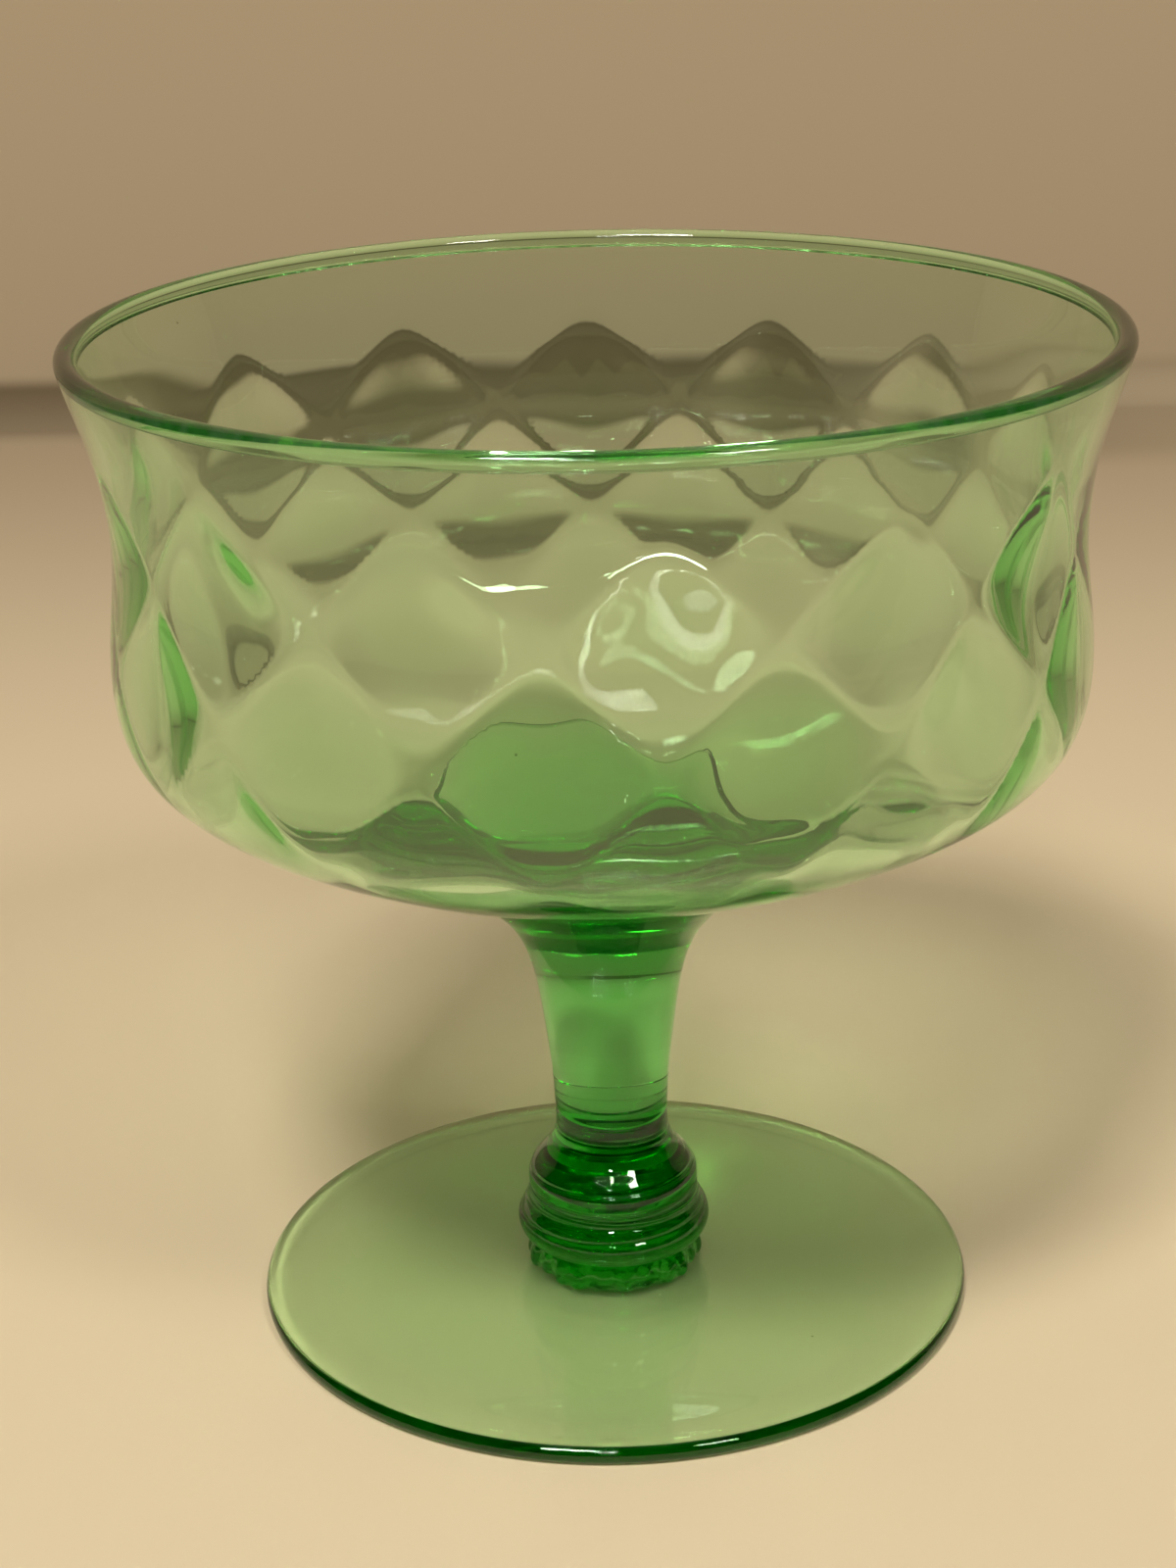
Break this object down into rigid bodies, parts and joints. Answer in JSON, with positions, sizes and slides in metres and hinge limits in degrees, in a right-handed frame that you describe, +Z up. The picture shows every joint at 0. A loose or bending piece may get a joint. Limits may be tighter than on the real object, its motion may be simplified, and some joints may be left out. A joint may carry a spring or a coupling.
{
  "type": "footed dessert glass",
  "caption": "Short-stemmed green glass with a wide flared bowl, diamond optic inside, bell-shaped knop and thin round foot.",
  "frame": {"origin": "centre of the foot's underside", "axes": "+Z up along the glass's axis, from the foot to the rim; a column of optic pillows faces +Y"},
  "size_m": [0.0942, 0.0942, 0.095],
  "materials": {
    "green_glass": "clear transparent green glass, fire-polished"
  },
  "bodies": {
    "root": {"bowl": "green_glass", "stem": "green_glass", "knop": "green_glass", "wafer": "green_glass", "foot": "green_glass"}
  },
  "joints": []
}
